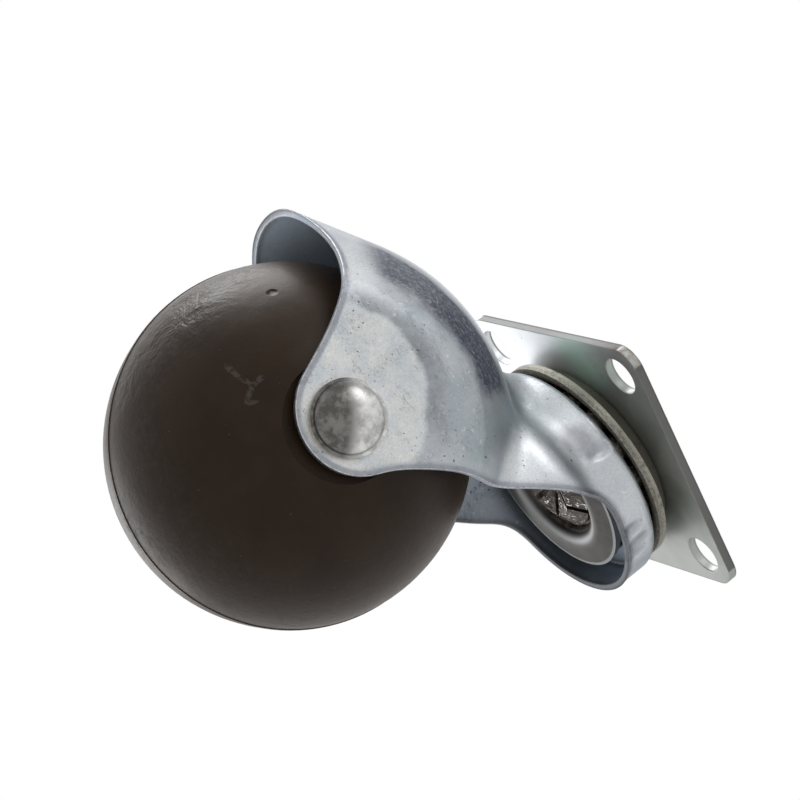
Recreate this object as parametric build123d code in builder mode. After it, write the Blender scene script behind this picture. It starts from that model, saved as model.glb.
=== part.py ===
"""A hooded ball castor with a square top plate, in millimetres.

The origin is the centre of the plate's upper face, on the swivel axis, and +Z points up into
the furniture. The plate's edges run along X and Y, and the fork trails at the angle SWIVEL.
"""
from build123d import *
from math import cos, radians, sin
import os

# Top plate
PLATE_SIDE = 39.4
PLATE_THICKNESS = 1.3
PLATE_CORNER = 3.2
HOLE_SPACING = 30.2
HOLE_DIAMETER = 5.7

# Ball wheel, hanging in the fork to one side of the swivel axis
BALL_RADIUS = 25.0
WHEEL_DROP = 39.0
TRAIL = 26.6
SWIVEL = -20.4
POLE_RECESS_RADIUS = 8.2
POLE_FACE = 23.0
SEAM_WIDTH = 0.8
SEAM_HEIGHT = 0.12
HUB_RADIUS = 5.0

# Axle rivet through both ears
AXLE_RADIUS = 3.0
AXLE_FIT = 0.05
HEAD_RADIUS = 5.2
HEAD_HEIGHT = 3.2
DOME_RADIUS = 4.8
HEAD_RING = 0.8

# Pressed fork
SHEET = 0.85
FORK_TOP = -6.2
EAR_FACE = 25.2
EAR_GAP = 0.1
EAR_RADIUS = 8.55
EAR_RISE = 2.1
HOOD_RADIUS = 29.9
HOOD_BACK = 1.2
HOOD_LIFT = 0.7
SHOULDER = 7.0
BRIM_ANGLE = 35.3
BRIM_LENGTH = 18.0
CAP_RADIUS = 16.8
CAP_CORNER = 1.2
SKIRT_EDGE = -11.85
BELL_RADIUS = 20.3
FLARE_TOP = -10.4
FLARE_FOOT = -18.4
BELL_FOOT = -33.4
VALLEY = 4.0
BLANK_REACH = 60.0

# Swivel bearing
RACE_SHEET = 1.2
RACE_RADIUS = 16.15
RACE_DROP = 2.6
RACE_PAN = 13.6
RACE_FLARE = 14.9
UPPER_BALL = 3.97
UPPER_TRACK = 11.6
UPPER_COUNT = 16
LOWER_BALL = 3.25
LOWER_TRACK = 11.2
LOWER_COUNT = 20
TRACK_FIT = 0.03
TRACK_DEPTH = 0.13
WASHER_SHEET = 1.15
WASHER_RADIUS = 13.1
WASHER_FLOOR = -8.1
WASHER_BEND = 8.2
WASHER_LIP = 9.0
WASHER_SLOPE = 0.17

# Kingpin
SHANK_RADIUS = 4.2
COLLAR_RADIUS = 6.0
COLLAR_FOOT = -5.8
TENON_RADIUS = 3.2
HEAD_SINK = 1.0
WEB_CLEARANCE = 0.5
PETAL_COUNT = 6
PETAL_RADIUS = 7.0
PETAL_EDGE = 0.8
PETAL_CREST = 4.3
PETAL_DROP = 2.3
CRATER_DEPTH = 1.9
SPLIT_WIDTH = 0.8

FORWARD = Vector(cos(radians(SWIVEL)), sin(radians(SWIVEL)), 0)
LEFT = Vector(-FORWARD.Y, FORWARD.X, 0)
UP = Vector(0, 0, 1)
WHEEL_CENTRE = FORWARD * TRAIL - UP * WHEEL_DROP
WHEEL_AXIS = Axis(WHEEL_CENTRE, LEFT)
HOOD_CENTRE = WHEEL_CENTRE - FORWARD * HOOD_BACK + UP * HOOD_LIFT
HOOD_AXIS = Axis(HOOD_CENTRE, LEFT)
WEB_FACE = FORK_TOP - SHEET
RACE_FACE = -PLATE_THICKNESS - RACE_SHEET
UPPER_LEVEL = (RACE_FACE + FORK_TOP) / 2
LOWER_LEVEL = WEB_FACE + TRACK_DEPTH - LOWER_BALL / 2
HUB_FACE = EAR_FACE - SHEET - EAR_GAP

# The fork seen from its side, with forward along x and up along y
SIDE_VIEW = Plane(WHEEL_CENTRE, x_dir=FORWARD, z_dir=-LEFT)
# The wheel cut through its axle, with the axle along x and up along y
AXLE_VIEW = Plane(WHEEL_CENTRE, x_dir=LEFT, z_dir=FORWARD)
# Half of a turned piece cut through the swivel axis, with backward along x and up along y
TURN_VIEW = Plane((0, 0, 0), x_dir=-FORWARD, z_dir=LEFT)
# The hood cut across where its brim leaves the ball's curve
BRIM_NORMAL = FORWARD * cos(radians(BRIM_ANGLE)) - UP * sin(radians(BRIM_ANGLE))
BRIM_VIEW = Plane(HOOD_CENTRE, x_dir=LEFT, z_dir=BRIM_NORMAL)


def hood_section(inset):
    """The arch across the hood: the crown's circle between two flat ears, with round shoulders."""
    with BuildSketch() as section:
        Circle(HOOD_RADIUS)
        Rectangle(2 * EAR_FACE, 2 * HOOD_RADIUS, mode=Mode.INTERSECT)
        fillet(section.vertices(), SHOULDER)
        offset(amount=-inset)
    return section.sketch


def bell_section(inset):
    """The swivel bell cut through its axis: flat top, round corner, upright wall, flared skirt."""
    corner = (CAP_RADIUS - CAP_CORNER, FORK_TOP - CAP_CORNER)
    flare_middle = ((CAP_RADIUS + BELL_RADIUS) / 2, (FLARE_TOP + FLARE_FOOT) / 2)
    with BuildSketch() as section:
        with BuildLine():
            Line((0, FORK_TOP), (CAP_RADIUS - CAP_CORNER, FORK_TOP))
            CenterArc(corner, CAP_CORNER, 0, 90)
            Line((CAP_RADIUS, FORK_TOP - CAP_CORNER), (CAP_RADIUS, FLARE_TOP))
            flare = TangentArc((CAP_RADIUS, FLARE_TOP), flare_middle, tangent=(0, -1))
            TangentArc(flare_middle, (BELL_RADIUS, FLARE_FOOT), tangent=flare % 1)
            Line((BELL_RADIUS, FLARE_FOOT), (BELL_RADIUS, BELL_FOOT))
            Line((BELL_RADIUS, BELL_FOOT), (0, BELL_FOOT))
            mirror(about=Plane.YZ)
        make_face()
        offset(amount=-inset)
        split(bisect_by=Plane.YZ)
    return section.sketch


def side_outline():
    """All that stays of the fork seen from its side: ear, free edges, skirt and front rim."""
    level = SKIRT_EDGE + WHEEL_DROP
    with BuildSketch() as outline:
        with BuildLine():
            ear = CenterArc((0, EAR_RISE), EAR_RADIUS, 198.4, 136.8)
            rear = Spline(
                ear @ 0, (-10.7, 4.2), (-14.2, 8.6), (-18.6, 12.9), (-22.9, 18.5), (-27.7, 24.2),
                (-34, level),
                tangents=(ear % 0 * -1, (-1, 0)),
            )
            front = Spline(
                ear @ 1, (9.6, 2.7), (12.8, 8.4), (18, 14), (22.1, 15.8), (26.4, 16.8), (30, 19.2),
                tangents=(ear % 1, (1, 0.8)),
            )
            Polyline(
                rear @ 1,
                (-BLANK_REACH, level),
                (-BLANK_REACH, BLANK_REACH),
                (BLANK_REACH, BLANK_REACH),
                front @ 1 + front % 1 * BLANK_REACH,
                front @ 1,
            )
        make_face()
    return outline.sketch


def fork_form(inset):
    """Hood and bell as one closed form with a rounded valley between them, drawn in by the inset."""
    with BuildPart() as form:
        with BuildSketch(BRIM_VIEW):
            add(hood_section(inset))
        extrude(amount=BRIM_LENGTH + inset)
        with BuildSketch(BRIM_VIEW):
            add(hood_section(inset))
            split(bisect_by=Plane.XZ)
        revolve(axis=HOOD_AXIS, revolution_arc=180)
        with BuildSketch(TURN_VIEW):
            add(bell_section(inset))
        revolve(axis=Axis.Z)
        valley = form.edges().filter_by(GeomType.BSPLINE)
        fillet(valley.filter_by(lambda edge: edge.center().Z > BELL_FOOT), VALLEY + inset)
    return form.part


# The top plate: blanked square, four bolt holes, countersunk for the kingpin's head
with BuildPart() as top_plate:
    with BuildSketch(Plane.XY.offset(-PLATE_THICKNESS)):
        RectangleRounded(PLATE_SIDE, PLATE_SIDE, PLATE_CORNER)
        with GridLocations(HOLE_SPACING, HOLE_SPACING, 2, 2):
            Circle(HOLE_DIAMETER / 2, mode=Mode.SUBTRACT)
        Circle(SHANK_RADIUS, mode=Mode.SUBTRACT)
    extrude(amount=PLATE_THICKNESS)
    rim = top_plate.edges().filter_by(GeomType.CIRCLE).group_by(Axis.Z)[-1]
    chamfer(rim.filter_by(lambda edge: abs(edge.radius - SHANK_RADIUS) < 0.01), HEAD_SINK)

# The upper race: a pressed pan fixed under the plate, its rim drawn down past the balls
with BuildPart() as upper_race:
    with BuildSketch(TURN_VIEW):
        with BuildLine():
            FilletPolyline(
                (SHANK_RADIUS, -PLATE_THICKNESS),
                (RACE_PAN, -PLATE_THICKNESS),
                (RACE_FLARE, -PLATE_THICKNESS - RACE_DROP),
                (RACE_RADIUS, -PLATE_THICKNESS - RACE_DROP),
                radius=1.3,
            )
            offset(amount=RACE_SHEET, side=Side.RIGHT)
        make_face()
        with Locations((UPPER_TRACK, UPPER_LEVEL)):
            Circle(UPPER_BALL / 2 + TRACK_FIT, mode=Mode.SUBTRACT)
    revolve(axis=Axis.Z)

# The lower race: a dished washer held up under the fork by the kingpin's riveted end
with BuildPart() as lower_race:
    with BuildSketch(TURN_VIEW):
        with BuildLine():
            lip_level = LOWER_LEVEL - LOWER_BALL / 2 + TRACK_DEPTH
            FilletPolyline(
                (TENON_RADIUS, WASHER_FLOOR),
                (WASHER_BEND, WASHER_FLOOR),
                (WASHER_LIP, lip_level - WASHER_SLOPE * (LOWER_TRACK - WASHER_LIP)),
                (WASHER_RADIUS, lip_level + WASHER_SLOPE * (WASHER_RADIUS - LOWER_TRACK)),
                radius=1.3,
            )
            offset(amount=WASHER_SHEET, side=Side.RIGHT)
        make_face()
        with Locations((LOWER_TRACK, LOWER_LEVEL)):
            Circle(LOWER_BALL / 2 + TRACK_FIT, mode=Mode.SUBTRACT)
    revolve(axis=Axis.Z)

# The kingpin: flush countersunk head, collar under the race, tenon split open below the washer
with BuildPart() as kingpin:
    with BuildSketch(TURN_VIEW):
        tenon_end = WASHER_FLOOR - WASHER_SHEET
        with BuildLine():
            Polyline(
                (0, 0),
                (SHANK_RADIUS + HEAD_SINK, 0),
                (SHANK_RADIUS, -HEAD_SINK),
                (SHANK_RADIUS, RACE_FACE),
                (COLLAR_RADIUS, RACE_FACE),
                (COLLAR_RADIUS, COLLAR_FOOT),
                (SHANK_RADIUS, COLLAR_FOOT),
                (SHANK_RADIUS, WASHER_FLOOR),
                (TENON_RADIUS, WASHER_FLOOR),
                (TENON_RADIUS, tenon_end),
                (PETAL_RADIUS, tenon_end),
                (PETAL_RADIUS, tenon_end - PETAL_EDGE),
                (PETAL_CREST, tenon_end - PETAL_DROP),
                (0, tenon_end - PETAL_DROP + CRATER_DEPTH),
                close=True,
            )
        make_face()
    revolve(axis=Axis.Z)
    with BuildSketch(Plane.XY.offset(tenon_end - PETAL_DROP)):
        with PolarLocations(PETAL_RADIUS - PETAL_CREST / 2, PETAL_COUNT):
            Rectangle(PETAL_RADIUS, SPLIT_WIDTH)
    extrude(amount=PETAL_DROP, mode=Mode.SUBTRACT)

# The pressed fork: one sheet form that makes the swivel bell, the hood and both ears
with BuildPart() as fork:
    add(fork_form(0))
    add(fork_form(SHEET), mode=Mode.SUBTRACT)
    with BuildSketch(SIDE_VIEW):
        add(side_outline())
    extrude(amount=2 * EAR_FACE, both=True, mode=Mode.INTERSECT)
    with BuildSketch(Plane.XY.offset(WEB_FACE)):
        Circle(SHANK_RADIUS + WEB_CLEARANCE)
    extrude(amount=SHEET, mode=Mode.SUBTRACT)
    with BuildSketch(SIDE_VIEW):
        Circle(AXLE_RADIUS)
    extrude(amount=2 * EAR_FACE, both=True, mode=Mode.SUBTRACT)
    with BuildSketch(TURN_VIEW):
        with Locations((UPPER_TRACK, UPPER_LEVEL)):
            Circle(UPPER_BALL / 2 + TRACK_FIT)
    revolve(axis=Axis.Z, mode=Mode.SUBTRACT)
    with BuildSketch(TURN_VIEW):
        with Locations((LOWER_TRACK, LOWER_LEVEL)):
            Circle(LOWER_BALL / 2 + TRACK_FIT)
    revolve(axis=Axis.Z, mode=Mode.SUBTRACT)

# The axle rivet: a plain shank with a low dome on a thin flange outside each ear
with BuildPart() as axle_rivet:
    with BuildSketch(AXLE_VIEW):
        with BuildLine():
            Polyline(
                (0, AXLE_RADIUS),
                (EAR_FACE, AXLE_RADIUS),
                (EAR_FACE, HEAD_RADIUS),
                (EAR_FACE + HEAD_RING, HEAD_RADIUS),
                (EAR_FACE + HEAD_RING, DOME_RADIUS),
            )
            dome_height = HEAD_HEIGHT - HEAD_RING
            EllipticalCenterArc(
                (EAR_FACE + HEAD_RING, 0), dome_height, DOME_RADIUS, start_angle=0, arc_size=90,
            )
            Line((EAR_FACE + HEAD_HEIGHT, 0), (0, 0))
            mirror(about=Plane.YZ)
        make_face()
    revolve(axis=WHEEL_AXIS)

# The ball: moulded rubber with a seam round its equator and a shallow recess at each pole
with BuildPart() as ball:
    with BuildSketch(AXLE_VIEW):
        Circle(BALL_RADIUS)
        Rectangle(SEAM_WIDTH, 2 * (BALL_RADIUS + SEAM_HEIGHT))
        with Locations((BALL_RADIUS, 0), (-BALL_RADIUS, 0)):
            Rectangle(2 * (BALL_RADIUS - POLE_FACE), 2 * POLE_RECESS_RADIUS, mode=Mode.SUBTRACT)
        Rectangle(2 * BALL_RADIUS, 2 * HUB_RADIUS, mode=Mode.SUBTRACT)
        split(bisect_by=Plane.XZ)
    revolve(axis=WHEEL_AXIS)

# The hub sleeve: a steel tube pressed through the ball, turning on the rivet between the ears
with BuildPart() as hub_sleeve:
    with BuildSketch(AXLE_VIEW):
        with Locations((0, (HUB_RADIUS + AXLE_RADIUS + AXLE_FIT) / 2)):
            Rectangle(2 * HUB_FACE, HUB_RADIUS - AXLE_RADIUS - AXLE_FIT)
    revolve(axis=WHEEL_AXIS)

pieces = {
    "top_plate": top_plate.part,
    "upper_race": upper_race.part,
    "lower_race": lower_race.part,
    "kingpin": kingpin.part,
    "fork": fork.part,
    "axle_rivet": axle_rivet.part,
    "ball": ball.part,
    "hub_sleeve": hub_sleeve.part,
}

# The bearing balls: a full ring above the fork's web and a ring of smaller ones below it
for ring, count, track, level, size in (
    ("upper_ball", UPPER_COUNT, UPPER_TRACK, UPPER_LEVEL, UPPER_BALL),
    ("lower_ball", LOWER_COUNT, LOWER_TRACK, LOWER_LEVEL, LOWER_BALL),
):
    for index in range(count):
        with BuildPart() as bearing_ball:
            with Locations(Location((0, 0, 0), (0, 0, 360 * index / count))):
                with Locations((track, 0, level)):
                    Sphere(size / 2)
        pieces[f"{ring}_{index + 1:02d}"] = bearing_ball.part

os.makedirs("parts", exist_ok=True)
for name, piece in pieces.items():
    piece.label = name
    export_step(piece, f"parts/{name}.step")
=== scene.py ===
import bpy
from math import cos, pi, radians, sin
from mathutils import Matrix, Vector

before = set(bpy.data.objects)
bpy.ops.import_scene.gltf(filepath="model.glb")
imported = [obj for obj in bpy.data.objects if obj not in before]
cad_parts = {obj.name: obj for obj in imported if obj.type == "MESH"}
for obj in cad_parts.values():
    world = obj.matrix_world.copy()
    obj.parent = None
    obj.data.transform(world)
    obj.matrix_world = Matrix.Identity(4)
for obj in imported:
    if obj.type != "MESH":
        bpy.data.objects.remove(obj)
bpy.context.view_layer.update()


# The pressed fork
# One blank of zinc-plated sheet, deep-drawn into the swivel bell, the hood and both ears.
# The plating is pale and slightly blue, with a painted dark reflection mottled along the hood's
# shoulders, a duller inside painted blue-grey for its shade, specks and short scratches, and free
# edges partly rubbed bright, partly given painted highlights and painted shade.

class Value:
    """One shader socket: Python's operators on it add the Math nodes."""

    def __init__(self, tree, socket):
        self.tree = tree
        self.socket = socket

    def node(self, kind, settings=None, output=0, **sockets):
        """Adds a node: its settings first, then the values or links of its sockets.

        A socket goes by its name, or by i and its number where names repeat.
        """
        made = self.tree.nodes.new(kind)
        for name, setting in (settings or {}).items():
            setattr(made, name, setting)
        for name, given in sockets.items():
            socket = made.inputs[int(name[1:]) if name[1:].isdigit() else name.replace("_", " ")]
            if isinstance(given, Value):
                self.tree.links.new(given.socket, socket)
            else:
                socket.default_value = given
        return Value(self.tree, made.outputs[output]) if made.outputs else None

    def math(self, operation, other=0.0):
        return self.node("ShaderNodeMath", {"operation": operation}, i0=self, i1=other)

    def __add__(self, other):
        return self.math("ADD", other)

    def __mul__(self, other):
        return self.math("MULTIPLY", other)

    __radd__ = __add__
    __rmul__ = __mul__

    def __sub__(self, other):
        return self.math("SUBTRACT", other)

    def __rsub__(self, other):
        return self.node("ShaderNodeMath", {"operation": "SUBTRACT"}, i0=other, i1=self)

    def __abs__(self):
        return self.math("ABSOLUTE")

    def most(self, other):
        """The larger of this value and another."""
        return self.math("MAXIMUM", other)

    def rises(self, low, high):
        """0 below low, 1 above high, eased in between; high below low makes it fall."""
        eased = {"interpolation_type": "SMOOTHSTEP"}
        return self.node("ShaderNodeMapRange", eased, Value=self, From_Min=low, From_Max=high)

    def hump(self, centre, width):
        """1 at the centre, easing to 0 a width away on both sides."""
        return abs(self - centre).rises(width, 0.0)

    def vector_math(self, operation, output=0, **sockets):
        return self.node("ShaderNodeVectorMath", {"operation": operation}, output, i0=self, **sockets)

    def along(self, direction):
        """How far this vector reaches along a direction."""
        return self.vector_math("DOT_PRODUCT", "Value", i1=direction)

    def out_from(self, point):
        """The way here from a point."""
        return self.vector_math("SUBTRACT", i1=point)

    def scaled(self, factors):
        return self.vector_math("MULTIPLY", i1=factors)

    def length(self):
        return self.vector_math("LENGTH", "Value")

    def noise(self, size, detail=3.0, rough=0.55, warp=0.0):
        """Soft noise from 0 to 1 whose blotches are about that size in millimetres."""
        return self.node("ShaderNodeTexNoise", None, "Fac", Vector=self, Scale=1.0 / size,
                         Detail=detail, Roughness=rough, Distortion=warp)

    def tint(self, under, over):
        """This mask lays one colour, or coloured value, over another."""
        return self.node("ShaderNodeMix", {"data_type": "RGBA"}, 2, i0=self, i6=under, i7=over)

    def bump(self, height_mm, **normal):
        """The surface normal that this relief, so many millimetres high, gives."""
        return self.node(
            "ShaderNodeBump", None, Height=self * height_mm, Distance=0.001, **normal)

    def into(self, shader, name):
        self.tree.links.new(self.socket, shader.inputs[name])


def finish(name, **constants):
    """A new material: its shader, with constant sockets set, and the place in millimetres."""
    material = bpy.data.materials.new(name)
    material.use_nodes = True
    shader = material.node_tree.nodes["Principled BSDF"]
    for socket, value in constants.items():
        shader.inputs[socket.replace("_", " ")].default_value = value
    coordinates = material.node_tree.nodes.new("ShaderNodeTexCoord")
    place = Value(material.node_tree, coordinates.outputs["Object"]).scaled((1000.0,) * 3)
    return material, shader, place


def coat(node, material):
    """Puts a material on every slot of a CAD node."""
    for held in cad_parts[node].material_slots:
        held.material = material


def roll_edges(node, width_mm):
    """Rolls the sharp edges of a CAD node over by this width."""
    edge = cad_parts[node].modifiers.new("rolled edge", "BEVEL")
    edge.width = width_mm / 1000
    edge.segments = 2
    edge.limit_method = "ANGLE"
    edge.angle_limit = radians(50)


def rounded(place, reach_mm):
    """The surface normal with every edge rolled over by this reach, in millimetres."""
    return place.node("ShaderNodeBevel", {"samples": 8}, Radius=reach_mm / 1000)


def sharp_edges(place, reach_mm, full=0.12):
    """1 on edges and folds tighter than this reach, easing to 0 on open faces."""
    flat = place.node("ShaderNodeNewGeometry", None, "True Normal")
    return (1.0 - rounded(place, reach_mm).along(flat)).rises(full / 8, full)


# The plate lies in X and Y at height 0, and the wheel trails from the swivel at an angle
swivel = radians(-20.4)
forward = (cos(swivel), sin(swivel), 0.0)
axle_way = (-sin(swivel), cos(swivel), 0.0)
upward = (0.0, 0.0, 1.0)
trail = 26.6
wheel_drop = 39.0
hood_back, hood_lift = 1.2, 0.7
hood_ahead = trail - hood_back
hood_level = hood_lift - wheel_drop
hood_middle = (hood_ahead * forward[0], hood_ahead * forward[1], hood_level)
ear_face = 25.2

zinc, shader, place = finish(
    "fork_zinc", Specular_IOR_Level=0.4, Specular_Tint=(0.62, 0.64, 0.68, 1))
ahead = place.along(forward) - hood_ahead
across = abs(place.along(axle_way))
height = place.along(upward) - hood_level
arm = (ahead * ahead + height * height).math("SQRT")
turned = height.math("ARCTAN2", ahead) * (180.0 / pi)
facing = place.node("ShaderNodeNewGeometry", None, "True Normal")
to_piece = {"vector_type": "NORMAL", "convert_from": "WORLD", "convert_to": "OBJECT"}
facing = facing.node("ShaderNodeVectorTransform", to_piece, Vector=facing)
inside = facing.along(place.out_from(hood_middle)).rises(-6.0, -13.0)

cool_zinc, pale_zinc = (0.36, 0.40, 0.43, 1), (0.50, 0.52, 0.54, 1)
cloud = place.noise(9.0, 4.0, 0.6, 0.6)
fine = place.noise(1.1, 4.0, 0.7)
grain = place.noise(0.18, 3.0, 0.7)
plating = cloud.rises(0.3, 0.7).tint(cool_zinc, pale_zinc)

# The flat of the ear, painted paler, blotched blue and cream, for the bright reflection it shows, out
# to a turn that draws in towards the back
bright_reflection_blue, bright_reflection_cream = (0.62, 0.66, 0.70, 1), (0.78, 0.78, 0.75, 1)
flat_reach, flat_taper, flat_least = 18.3, 0.078, 9.3
flat_end = (flat_reach - flat_taper * turned).most(flat_least)
past_flat = arm - flat_end + (place.noise(5.0) - 0.5) * 1.6
ear_flat = past_flat.rises(0.6, -0.6) * across.rises(ear_face - 0.6, ear_face - 0.1)
ear_reflection = place.noise(3.5, 5.0, 0.7).rises(0.35, 0.6).tint(bright_reflection_blue, bright_reflection_cream)
plating = (ear_flat * (0.4 + 0.5 * cloud)).tint(plating, ear_reflection)

# Painted shade: a grey streaked band along that turn, just beyond the end of the flat
painted_shade_grey = (0.17, 0.175, 0.19, 1)
turn_shade = past_flat.rises(-0.2, 0.6) * past_flat.rises(4.6, 1.2) * turned.rises(20.0, 45.0)
turn_shade = turn_shade * turned.rises(150.0, 120.0) * across.rises(19.0, 22.0)
shade_streaks = place.noise(2.4, 5.0, 0.65, 1.2).rises(0.36, 0.62)
plating = (turn_shade * (0.30 + 0.25 * shade_streaks)).tint(plating, painted_shade_grey)

# A painted dark reflection: a mottled blue-grey band along the shoulders of the hood, rougher and
# less metallic there, with a painted highlight line beyond it and a painted highlight on the brow in
# front of it
dark_reflection_blue = (0.04, 0.046, 0.075, 1)
highlight_white, brow_highlight_white = (0.84, 0.85, 0.86, 1), (0.88, 0.89, 0.90, 1)
blur = (place.noise(3.0, 4.0, 0.65) - 0.5) * 3.0
band_arm = arm - (75.0 - turned).most(0.0) * 0.075
reflection_band = (band_arm + blur).rises(17.2, 20.2) * (band_arm + blur * 0.4).rises(25.2, 24.2)
reflection_band = reflection_band * (turned + blur * 3.0).rises(34.0, 52.0) * (turned + blur * 2.0).rises(116.0, 108.0)
reflection_band = reflection_band * across.rises(11.0, 15.0)
mottle = place.noise(0.7, 6.0, 0.8)
reflection_depth = 0.45 + 0.5 * mottle.rises(0.34, 0.56) + 0.3 * (turned.rises(60.0, 95.0) - 0.5)
plating = (reflection_band * reflection_depth).tint(plating, dark_reflection_blue)
# Painted highlights: a bright line beyond the band, and the brow in front of it
highlight_line = band_arm.hump(26.4, 1.3) * turned.rises(40.0, 60.0) * across.rises(7.0, 12.0)
highlight_line = highlight_line * turned.rises(125.0, 110.0)
plating = (highlight_line * 0.8).tint(plating, highlight_white)
brow_highlight = turned.rises(54.0, 42.0) * across.rises(ear_face - 0.3, ear_face - 1.6) * (1.0 - inside)
plating = (brow_highlight * (0.45 + 0.5 * cloud)).tint(plating, brow_highlight_white)

# Painted shade, with a teal cast, in the valley between hood and bell
valley_shade_teal = (0.24, 0.33, 0.34, 1)
valley_shade = ahead.hump(-12.5, 5.0) * height.rises(8.0, 13.0) * across.rises(12.0, 18.0)
plating = (valley_shade * 0.4).tint(plating, valley_shade_teal)

# The inside, never polished, painted blue-grey for its shade, and painted darker still on the far
# side of the bell
inside_shade_blue, far_inside_shade = (0.45, 0.54, 0.64, 1), (0.14, 0.15, 0.16, 1)
plating = (inside * 0.85).tint(plating, inside_shade_blue)
far_side = place.along(axle_way).rises(-5.0, -10.0) * ahead.rises(-8.0, -18.0)
plating = (inside * far_side * 0.6).tint(plating, far_inside_shade)

# The bell's shoulder, painted lighter where light falls on it, but for one swirl of painted shade
cone_light_white, swirl_shade_grey = (0.70, 0.72, 0.74, 1), (0.22, 0.22, 0.24, 1)
swirl_shade_at = (10.2, 13.2, -10.4)
cone_light = ahead.rises(-12.0, -17.0) * across.rises(7.0, 12.0) * (1.0 - inside)
plating = (cone_light * (0.35 + 0.5 * cloud)).tint(plating, cone_light_white)
swirl_shade = place.out_from(swirl_shade_at).scaled((0.55, 1.0, 0.8)).length()
swirl_shade = (swirl_shade + (place.noise(2.0) - 0.5) * 1.2).rises(2.6, 1.1)
plating = (swirl_shade * 0.7).tint(plating, swirl_shade_grey)

# Shallow knocks pressed into the wall of the bell, darkened with painted shade
knock_shade_grey = (0.24, 0.25, 0.28, 1)
knock_spots = (-4.1, 16.3, -10.3), (-6.6, 15.4, -9.4), (-8.2, 14.6, -10.3), (8.0, 15.0, -8.6)
knocks = sum(
    place.out_from(spot).scaled((1.0, 1.0, 0.55)).length().rises(1.5, 0.2) for spot in knock_spots)
plating = (knocks * 0.45).tint(plating, knock_shade_grey)

# Dark flecks and specks, short scratches, and pale worn spots
fleck_grey, speck_black = (0.20, 0.21, 0.22, 1), (0.045, 0.045, 0.05, 1)
scratch_brown, spot_white = (0.10, 0.09, 0.085, 1), (0.74, 0.75, 0.75, 1)
fleck = place.noise(0.3, 4.0, 0.8).rises(0.3, 0.7)
plating = (0.28 * fleck).tint(plating, fleck_grey)
specks = place.noise(0.5, 2.0, 0.5).rises(0.69, 0.73) * place.noise(5.0).rises(0.42, 0.55)
plating = (specks * 0.85).tint(plating, speck_black)
scratched = place.scaled((0.35, 1.0, 1.6)).noise(0.9, 3.0, 0.7, 1.5).hump(0.5, 0.012)
scratched = scratched * place.noise(2.5).rises(0.50, 0.58) * (1.0 - 0.8 * cone_light)
plating = (scratched * 0.6).tint(plating, scratch_brown)
spots = place.noise(0.8, 4.0, 0.7, 0.5).rises(0.60, 0.70)
plating = (spots * 0.4).tint(plating, spot_white)

# The free edges: painted shade as a grey band along each rolled lip, darker on the far side and
# round the bell's foot and on the downward cut face there, and near-side edges lightened in patches,
# partly rubbed wear and partly painted highlight
lip_shade_grey, far_lip_shade_dark = (0.22, 0.235, 0.27, 1), (0.10, 0.10, 0.105, 1)
cut_face_shade, wear_and_highlight_white = (0.13, 0.13, 0.135, 1), (0.76, 0.77, 0.78, 1)
lip = sharp_edges(place, 1.9, 0.05)
bell_foot = ahead.rises(-22.0, -28.0) * height.rises(29.5, 28.0)
far_lip_shade = lip * place.along(axle_way).rises(7.0, -3.0).most(bell_foot * 0.75)
plating = (lip * (1.0 - inside) * (0.6 + 0.4 * fine)).tint(plating, lip_shade_grey)
plating = (far_lip_shade * 0.8).tint(plating, far_lip_shade_dark)
cut_face = facing.along((0.0, 0.0, -1.0)).rises(0.6, 0.85) * bell_foot * height.rises(28.2, 27.2)
plating = (cut_face * 0.8).tint(plating, cut_face_shade)
# Edges lightened in patches, partly rubbed wear and partly painted highlight, kept off the inside and
# the shaded far lip
worn_and_lit_edges = sharp_edges(place, 0.35) * place.noise(0.6).rises(0.3, 0.6)
worn_and_lit_edges = worn_and_lit_edges * (1.0 - 0.9 * inside) * (1.0 - far_lip_shade) * (1.0 - 0.7 * cut_face)
plating = (worn_and_lit_edges * 0.75).tint(plating, wear_and_highlight_white)

plating.into(shader, "Base Color")
(0.85 - 0.2 * inside - 0.3 * specks - 0.25 * reflection_band).into(shader, "Metallic")
roughness = 0.29 + 0.14 * cloud + 0.08 * fine + 0.1 * inside + 0.28 * reflection_band + 0.08 * turn_shade
roughness.into(shader, "Roughness")
relief = grain * 0.6 + fine + mottle * reflection_band - specks * 1.5 - scratched - knocks * 22.0
relief.bump(0.02, Normal=rounded(place, 0.5)).into(shader, "Normal")
coat("fork", zinc)
roll_edges("fork", 0.2)


# The top plate
# Blanked from flat zinc-plated sheet, with four screw holes. Its zinc is duller and greener
# than the fork's, clouded by handling, with painted glare lightening one end, and its sheared edge is
# dark.

dull_green, dull_cream = (0.34, 0.36, 0.34, 1), (0.50, 0.51, 0.48, 1)
glare_white, tip_white = (0.80, 0.82, 0.84, 1), (0.62, 0.63, 0.64, 1)
cloud_green, rust_brown = (0.66, 0.88, 0.78, 1), (0.42, 0.31, 0.27, 1)
green_at, rust_at = (16.0, 6.5, -1.3), (18.6, 17.6, -0.6)
sheared_grey = (0.19, 0.18, 0.175, 1)
plate_speck, plate_edge = (0.14, 0.14, 0.13, 1), (0.60, 0.60, 0.58, 1)
plate_side = 39.4
plate_half = plate_side / 2

plate_zinc, shader, place = finish(
    "plate_zinc", Specular_IOR_Level=0.4, Specular_Tint=(0.75, 0.76, 0.78, 1))
top_face = place.along(upward).rises(-0.35, -0.15)
cloud = place.noise(13.0, 4.0, 0.6, 0.8)
plating = cloud.rises(0.32, 0.68).tint(dull_green, dull_cream)
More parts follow.
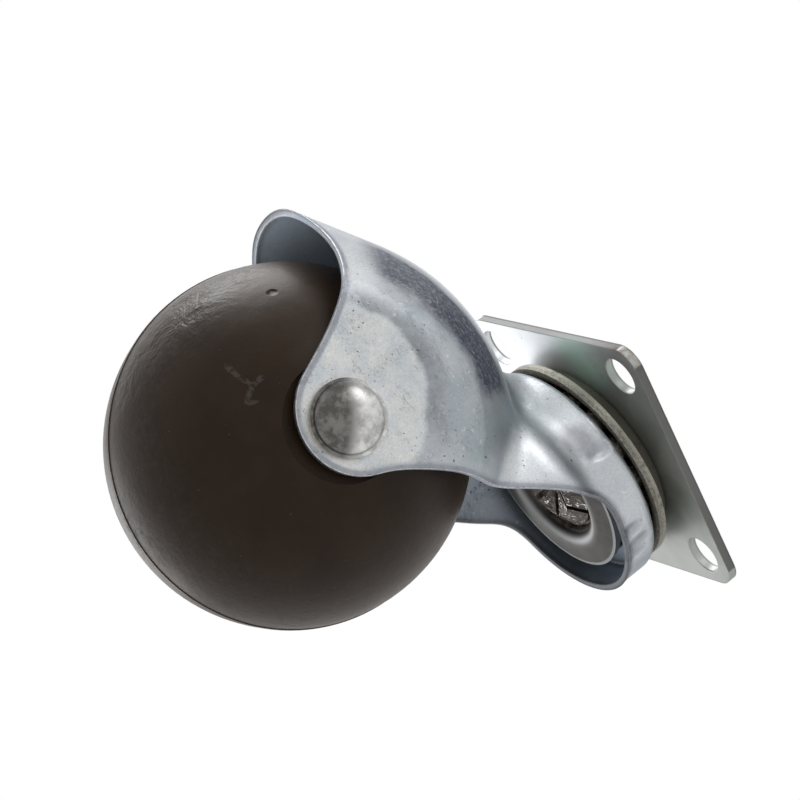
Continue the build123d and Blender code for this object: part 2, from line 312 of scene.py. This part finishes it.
# Painted glare: the underside paler towards one end, and more metallic there
glare_end = place.along((0.8, -0.6, 0.0)).rises(4.0, 13.0) * (1.0 - top_face)
plating = (glare_end * 0.9).tint(plating, glare_white)
far_tip = place.along((-1.0, 0.0, 0.0)).rises(6.0, 18.0)
plating = (far_tip * 0.12).tint(plating, tip_white)
green = place.out_from(green_at).length().rises(7.5, 1.5) * place.noise(3.0).rises(0.25, 0.5)
plating = (green * (0.85 - 0.85 * top_face)).tint(plating, cloud_green)
rust = place.out_from(rust_at).length().rises(4.5, 0.5) * place.noise(0.9).rises(0.42, 0.6)
plating = (rust * 0.6).tint(plating, rust_brown)
sheared = abs(place.along((1.0, 0.0, 0.0))).rises(plate_half - 0.08, plate_half - 0.02)
sheared = sheared.most(
    abs(place.along((0.0, 1.0, 0.0))).rises(plate_half - 0.08, plate_half - 0.02))
plating = (sheared * 0.75).tint(plating, sheared_grey)
specks = place.noise(0.5, 2.0, 0.5).rises(0.72, 0.77)
plating = (specks * 0.5).tint(plating, plate_speck)
plating = (sharp_edges(place, 0.35) * 0.35).tint(plating, plate_edge)
plating.into(shader, "Base Color")
metallic = 0.62 + 0.25 * glare_end - 0.3 * sheared - 0.3 * rust - 0.3 * top_face
metallic.into(shader, "Metallic")
roughness = 0.40 + 0.15 * cloud + 0.1 * rust + 0.2 * sheared + 0.1 * top_face
roughness.into(shader, "Roughness")
ripple = place.scaled((1.0, 1.0, 0.2)).noise(0.35, 3.0, 0.7)
relief = ripple + place.noise(1.4) + sheared * place.noise(0.25) * 2.0
relief.bump(0.012, Normal=rounded(place, 0.3)).into(shader, "Normal")
coat("top_plate", plate_zinc)
roll_edges("top_plate", 0.15)


# The upper race
# A pressed disc spot-fixed under the plate. Its outer rim is a raw sheared edge in two tones:
# a smooth burnished stripe above and torn, darker steel below, beige with old grease.

torn_dark, torn_beige = (0.20, 0.19, 0.15, 1), (0.52, 0.50, 0.43, 1)
stripe_beige, grease_brown = (0.56, 0.54, 0.47, 1), (0.10, 0.085, 0.06, 1)

race_steel, shader, place = finish("race_steel", Specular_IOR_Level=0.5)
reach = place.scaled((1.0, 1.0, 0.0)).length()
torn = place.scaled((1.0, 1.0, 2.2)).noise(0.45, 5.0, 0.75, 0.5)
steel = torn.rises(0.35, 0.65).tint(torn_dark, torn_beige)
stripe = place.along(upward).rises(-4.55, -4.35) * place.noise(1.2).rises(0.3, 0.5)
steel = (stripe * 0.6).tint(steel, stripe_beige)
tucked = reach.rises(15.6, 15.0)
steel = (tucked * 0.75).tint(steel, grease_brown)
steel.into(shader, "Base Color")
(0.55 - 0.3 * tucked).into(shader, "Metallic")
(0.45 + 0.3 * torn).into(shader, "Roughness")
(torn * (1.0 - 0.6 * stripe)).bump(0.09).into(shader, "Normal")
coat("upper_race", race_steel)


# The bearing balls
# Two full rings of hardened steel balls, running wet in dark brown grease, so that only
# small glints of bare steel show between the races.

ball_steel, wet_grease = (0.42, 0.40, 0.36, 1), (0.045, 0.03, 0.018, 1)

greased, shader, place = finish("bearing_steel", Specular_IOR_Level=0.6, Coat_Roughness=0.15)
smear = place.noise(0.9, 4.0, 0.6, 0.8).rises(0.25, 0.5)
smear.tint(ball_steel, wet_grease).into(shader, "Base Color")
(0.9 - 0.8 * smear).into(shader, "Metallic")
(0.16 + 0.25 * smear).into(shader, "Roughness")
(0.4 * smear).into(shader, "Coat Weight")
smear.bump(0.05).into(shader, "Normal")
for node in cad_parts:
    if "_ball_" in node:
        coat(node, greased)


# The lower race
# A dished washer of plain pressed steel under the fork: a smooth grey-brown ring with a
# rounded, polished lip round the recess that takes the kingpin's riveted end, the lip painted with a
# bright highlight.

washer_dark, washer_brown = (0.04, 0.038, 0.036, 1), (0.075, 0.072, 0.068, 1)
lip_highlight_grey, rim_bright = (0.50, 0.51, 0.52, 1), (0.72, 0.74, 0.76, 1)
crust_dark, crust_brown = (0.05, 0.038, 0.03, 1), (0.24, 0.20, 0.17, 1)

washer_steel, shader, place = finish("washer_steel", Specular_IOR_Level=0.35)
reach = place.scaled((1.0, 1.0, 0.0)).length()
smooth = place.scaled((0.5, 0.5, 2.0)).noise(1.2, 4.0, 0.6)
steel = smooth.rises(0.3, 0.7).tint(washer_dark, washer_brown)
# Painted highlight on the rounded lip, which is also a little smoother
polished_lip_highlight = reach.hump(8.9, 0.9) * place.along(upward).rises(-10.4, -10.9)
steel = (polished_lip_highlight * 0.5).tint(steel, lip_highlight_grey)
steel = (reach.rises(12.75, 12.95) * 0.45).tint(steel, rim_bright)
recess = reach.rises(8.0, 7.5)
crust = place.noise(1.3, 4.0, 0.65, 0.6)
steel = (recess * 0.9).tint(steel, crust.rises(0.35, 0.65).tint(crust_dark, crust_brown))
steel.into(shader, "Base Color")
(0.5 - 0.2 * recess).into(shader, "Metallic")
(0.42 + 0.1 * smooth - 0.08 * polished_lip_highlight).into(shader, "Roughness")
(smooth * 0.02 + recess * crust * 0.3).bump(1.0).into(shader, "Normal")
coat("lower_race", washer_steel)


# The kingpin
# A hardened pin riveted into the plate. Its lower end is driven open by a star punch, and
# the split petals are dark with dried grease, with bare steel where they tore, painted with bright
# glints.

petal_dark, petal_brown = (0.035, 0.027, 0.022, 1), (0.11, 0.09, 0.075, 1)
facet_glint_white, head_grey = (0.82, 0.80, 0.77, 1), (0.34, 0.35, 0.335, 1)

pin_steel, shader, place = finish("pin_steel", Specular_IOR_Level=0.6, Coat_Roughness=0.2)
level = place.along(upward)
crumple = place.noise(1.5, 4.0, 0.65, 1.0)
steel = crumple.rises(0.35, 0.65).tint(petal_dark, petal_brown)
# Bare steel in patches on the petals, more metallic and smoother, painted with bright glints
bare_glints = place.noise(1.0, 3.0, 0.6, 1.5).rises(0.58, 0.66) * level.rises(-8.6, -9.4)
steel = (bare_glints * 0.9).tint(steel, facet_glint_white)
head = level.rises(-0.4, -0.05)
steel = head.tint(steel, head_grey)
steel.into(shader, "Base Color")
(0.55 + 0.35 * bare_glints - 0.25 * head).into(shader, "Metallic")
(0.36 - 0.2 * bare_glints + 0.25 * head).into(shader, "Roughness")
(crumple * (1.0 - head)).bump(0.35).into(shader, "Normal")
coat("kingpin", pin_steel)


# The axle rivet
# One steel rivet through both ears, its heads set to low domes that stand on a thin flat
# ring. The domes are mottled light and dark, with a painted dark reflection over their lower side,
# and the ring has gone beige.

dome_grey, dome_bright = (0.36, 0.355, 0.34, 1), (0.70, 0.70, 0.69, 1)
dome_dark_reflection, ring_beige = (0.055, 0.05, 0.044, 1), (0.56, 0.50, 0.41, 1)
dome_radius = 4.8

rivet_steel, shader, place = finish("rivet_steel", Specular_IOR_Level=0.6)
ahead = place.along(forward) - trail
height = place.along(upward) + wheel_drop
arm = (ahead * ahead + height * height).math("SQRT")
mottle = place.noise(1.8, 5.0, 0.7, 0.15)
steel = mottle.rises(0.3, 0.7).tint(dome_grey, dome_bright)
# A painted dark reflection over the lower side of each dome
low_side_reflection = (ahead * 0.62 - height * 0.78).rises(-1.4, 1.2) * (0.6 + 0.4 * mottle.rises(0.3, 0.6))
steel = (low_side_reflection * 0.95).tint(steel, dome_dark_reflection)
outward = abs(place.along(axle_way)) - ear_face
ring = arm.rises(dome_radius - 0.02, dome_radius + 0.06) * outward.rises(0.6, 0.46)
steel = (ring * 0.85).tint(steel, ring_beige)
steel.into(shader, "Base Color")
(0.85 - 0.35 * ring).into(shader, "Metallic")
(0.24 + 0.12 * mottle + 0.2 * ring).into(shader, "Roughness")
(place.noise(0.5, 4.0, 0.7) + mottle).bump(0.02).into(shader, "Normal")
coat("axle_rivet", rivet_steel)


# The hub sleeve
# A plain drawn steel tube pressed through the ball; only its ends could ever show.

tube_dark, tube_grey = (0.26, 0.25, 0.24, 1), (0.42, 0.41, 0.39, 1)

sleeve_steel, shader, place = finish("sleeve_steel", Specular_IOR_Level=0.5)
draw_marks = place.noise(0.8, 4.0, 0.6)
draw_marks.tint(tube_dark, tube_grey).into(shader, "Base Color")
(0.6 + 0.2 * draw_marks).into(shader, "Metallic")
(0.35 + 0.2 * draw_marks).into(shader, "Roughness")
draw_marks.bump(0.02).into(shader, "Normal")
coat("hub_sleeve", sleeve_steel)


# The ball
# Solid moulded rubber, nearly black with a brown cast. It is satin and clean near the hub,
# greyer and scuffed where it rolls, with a pit, pale scuffs and a raised moulding seam.

rubber_black, rubber_brown = (0.030, 0.016, 0.008, 1), (0.046, 0.027, 0.015, 1)
scuff_grey, struck_grey = (0.11, 0.095, 0.085, 1), (0.10, 0.088, 0.08, 1)
sheen_grey, seam_brown = (0.30, 0.28, 0.268, 1), (0.17, 0.13, 0.10, 1)
mark_grey, dust_grey = (0.22, 0.195, 0.18, 1), (0.30, 0.28, 0.26, 1)
pit_black = (0.006, 0.005, 0.004, 1)
ball_middle = (trail * forward[0], trail * forward[1], -wheel_drop)
struck_way, sheen_way = (0.873, -0.467, -0.136), (0.2, -0.55, -0.81)
pit_at = (47.8, -0.6, -34.2)

rubber, shader, place = finish("ball_rubber", Specular_IOR_Level=0.16)
from_middle = place.out_from(ball_middle)
outward = place.along(axle_way)
mould = place.noise(7.0, 4.0, 0.6)
skin = mould.rises(0.3, 0.7).tint(rubber_black, rubber_brown)
tread = abs(outward).rises(19.0, 8.0)
crumbs = place.noise(1.3, 5.0, 0.75, 0.2)
scuffed = tread * crumbs.rises(0.46, 0.62) * place.noise(8.0).rises(0.42, 0.6)
skin = (scuffed * 0.4).tint(skin, scuff_grey)

# The side that took the knocks: lumpier and greyer, and a painted pale sheen on the far half beyond
# the seam
struck = from_middle.along(struck_way).rises(15.5, 22.0)
lumps = place.noise(4.2, 5.0, 0.62, 0.5)
skin = (struck * lumps.rises(0.36, 0.7) * 0.4).tint(skin, struck_grey)
far_half_sheen = from_middle.along(sheen_way).rises(18.5, 22.5)
far_half_sheen = far_half_sheen * outward.rises(-0.3, -0.6) * (0.5 + 0.5 * lumps)
skin = (far_half_sheen * 0.8).tint(skin, sheen_grey)
seam = abs(outward).rises(0.62, 0.35)
skin = (seam * 0.7).tint(skin, seam_brown)


def stroke(place, start, end, width):
    """A wavering line on the surface between two points, in millimetres."""
    run = Vector(end) - Vector(start)
    way = tuple(run.normalized())
    shift = place.out_from(start)
    nearest = shift.along(way)
    nearest = nearest.node("ShaderNodeClamp", None, Value=nearest, Min=0.0, Max=run.length)
    foot = nearest.node("ShaderNodeVectorMath", {"operation": "SCALE"}, i0=way, Scale=nearest)
    gap = shift.out_from(foot).length()
    return (gap + (place.noise(0.8) - 0.5) * width * 2.0).rises(width, width * 0.3)


# One forked scuff, drawn as short strokes, a few grains of dust, and a pit above the scuff
scuff_fork = (42.2, 7.5, -45.7)
scuff_runs = (
    ((45.0, 3.8, -46.2), (43.4, 5.9, -46.1)),
    ((43.4, 5.9, -46.1), scuff_fork),
    (scuff_fork, (42.4, 7.8, -44.2)),
    (scuff_fork, (40.9, 7.9, -47.5)),
    ((40.9, 7.9, -47.5), (40.5, 8.6, -46.7)),
)
marks = stroke(place, *scuff_runs[0], 0.5)
for start, end in scuff_runs[1:]:
    marks = marks.most(stroke(place, start, end, 0.5))
broken = place.noise(0.7, 3.0, 0.6).rises(0.35, 0.55)
skin = (marks * broken * 0.42).tint(skin, mark_grey)
dust = place.noise(0.45, 1.0, 0.5).rises(0.79, 0.82)
skin = (dust * 0.5).tint(skin, dust_grey)
pit = place.out_from(pit_at).length().rises(0.9, 0.2)
skin = (pit * 0.6).tint(skin, pit_black)
skin.into(shader, "Base Color")
roughness = 0.36 + 0.10 * mould + 0.12 * scuffed + 0.1 * marks - 0.08 * struck
roughness.into(shader, "Roughness")
skin_grain = place.noise(0.3, 3.0, 0.7)
relief = mould * 2.0 + struck * lumps * 11.0 + crumbs * tread + skin_grain * 0.35 - pit * 6.0
relief.bump(0.05).into(shader, "Normal")
coat("ball", rubber)


# The setting
# Nothing but white all round and three plain soft lamps: one high beyond the ball, one high
# on the near side, and one low on the far side for the shaded rims.

scene = bpy.context.scene
world = bpy.data.worlds.new("studio")
scene.world = world
world.use_nodes = True
tree = world.node_tree
tree.nodes.clear()
rays = tree.nodes.new("ShaderNodeLightPath")
seen = Value(tree, rays.outputs["Is Camera Ray"])
for kind in ("Is Glossy Ray", "Is Transmission Ray"):
    seen = seen.most(Value(tree, rays.outputs[kind]))
soft = seen.node("ShaderNodeBackground", None, Color=(1, 1, 1, 1), Strength=0.24)
white = seen.node("ShaderNodeBackground", None, Color=(1, 1, 1, 1), Strength=1.0)
sky = seen.node("ShaderNodeMixShader", None, i0=seen, i1=soft, i2=white)
sky.node("ShaderNodeOutputWorld", None, Surface=sky)

for name, where, aim, width, power in (
    ("rim lamp", (0.31, -0.36, 0.19), (0.02, 0.0, -0.04), 0.30, 1.4),
    ("front lamp", (0.29, 0.158, 0.27), (0.01, 0.0, -0.03), 0.24, 0.38),
    ("low lamp", (-0.13, -0.43, -0.23), (0.01, 0.0, -0.04), 0.30, 0.4),
):
    light = bpy.data.lights.new(name, "AREA")
    light.shape = "DISK"
    light.size = width
    light.energy = power
    lamp = bpy.data.objects.new(name, light)
    lamp.location = where
    lamp.rotation_euler = (Vector(aim) - Vector(where)).to_track_quat("-Z", "Y").to_euler()
    scene.collection.objects.link(lamp)

camera = bpy.data.objects.new("camera", bpy.data.cameras.new("camera"))
camera.data.lens = 117.0
camera.data.sensor_width = 36.0
camera.data.clip_start = 0.01
camera.location = (0.163158, 0.295968, -0.152395)
camera.rotation_euler = (2.149723, -0.845775, 2.249121)
scene.collection.objects.link(camera)
scene.camera = camera
scene.view_settings.view_transform = "Standard"
